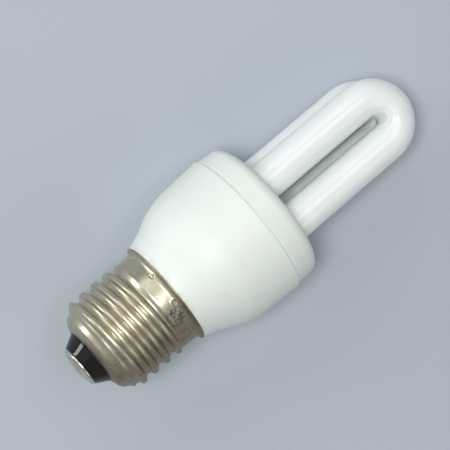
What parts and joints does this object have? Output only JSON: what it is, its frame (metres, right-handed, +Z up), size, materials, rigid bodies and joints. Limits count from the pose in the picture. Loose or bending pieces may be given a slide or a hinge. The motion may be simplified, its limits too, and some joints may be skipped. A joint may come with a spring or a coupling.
{
  "type": "compact fluorescent lamp with u tubes",
  "caption": "Self-ballasted compact fluorescent lamp: U shaped tubes side by side, a white round housing and an Edison screw cap.",
  "frame": {"origin": "centre of the lamp's footprint on the surface that it lies on", "axes": "+X along the lamp from cap to tubes, level; +Z up; the planes of the U's run along Y"},
  "size_m": [0.1028, 0.0386, 0.0406],
  "materials": {
    "nickel_plate": "rolled sheet with warm nickel plating, a little tarnished",
    "black_glass": "opaque black glass, glossy",
    "contact_plate": "stamped nickel plated disc",
    "solder": "soft solder, satin",
    "white_moulding": "moulded white plastic, satin",
    "milky_tube": "clear glass over a white inner coat, glossy",
    "cement": "set tube cement, matt",
    "board_laminate": "paper laminate board",
    "ferrite": "sintered ferrite",
    "bobbin": "moulded black bobbin",
    "enamelled_copper": "wound enamelled wire",
    "can_sleeve": "aluminium can in a shrunk sleeve",
    "film_dip": "dipped epoxy",
    "black_epoxy": "moulded epoxy on tinned leads",
    "resistor_lacquer": "lacquered resistor on tinned lead",
    "disc_dip": "dipped ceramic disc",
    "tinned_wire": "tinned wire and pins",
    "red_insulation": "insulated wire",
    "white_insulation": "insulated wire"
  },
  "bodies": {
    "root": {"base_resistor_1": "resistor_lacquer", "base_resistor_2": "resistor_lacquer", "base_resistor_3": "resistor_lacquer", "base_resistor_4": "resistor_lacquer", "cap_insulator": "black_glass", "cap_shell": "nickel_plate", "centre_contact": "contact_plate", "choke_bobbin": "bobbin", "choke_core_bottom": "ferrite", "choke_core_top": "ferrite", "choke_winding": "enamelled_copper", "circuit_board": "board_laminate", "contact_solder": "solder", "coupling_capacitor": "film_dip", "diac": "disc_dip", "discharge_tube": "milky_tube", "fuse_resistor": "resistor_lacquer", "housing_cup": "white_moulding", "input_inductor": "ferrite", "live_wire": "red_insulation", "neutral_wire": "white_insulation", "rectifier_diode_1": "black_epoxy", "rectifier_diode_2": "black_epoxy", "rectifier_diode_3": "black_epoxy", "rectifier_diode_4": "black_epoxy", "resonant_capacitor": "film_dip", "smoothing_capacitor": "can_sleeve", "start_capacitor": "disc_dip", "thermistor": "disc_dip", "toroid_core": "ferrite", "toroid_winding_1": "enamelled_copper", "toroid_winding_2": "enamelled_copper", "toroid_winding_3": "enamelled_copper", "transistor_1": "black_epoxy", "transistor_2": "black_epoxy", "tube_cement": "cement", "tube_cover": "white_moulding", "tube_lead_1": "tinned_wire", "tube_lead_2": "tinned_wire", "tube_lead_3": "tinned_wire", "tube_lead_4": "tinned_wire", "wrap_pin_1": "tinned_wire", "wrap_pin_2": "tinned_wire", "wrap_pin_3": "tinned_wire", "wrap_pin_4": "tinned_wire"}
  },
  "joints": []
}
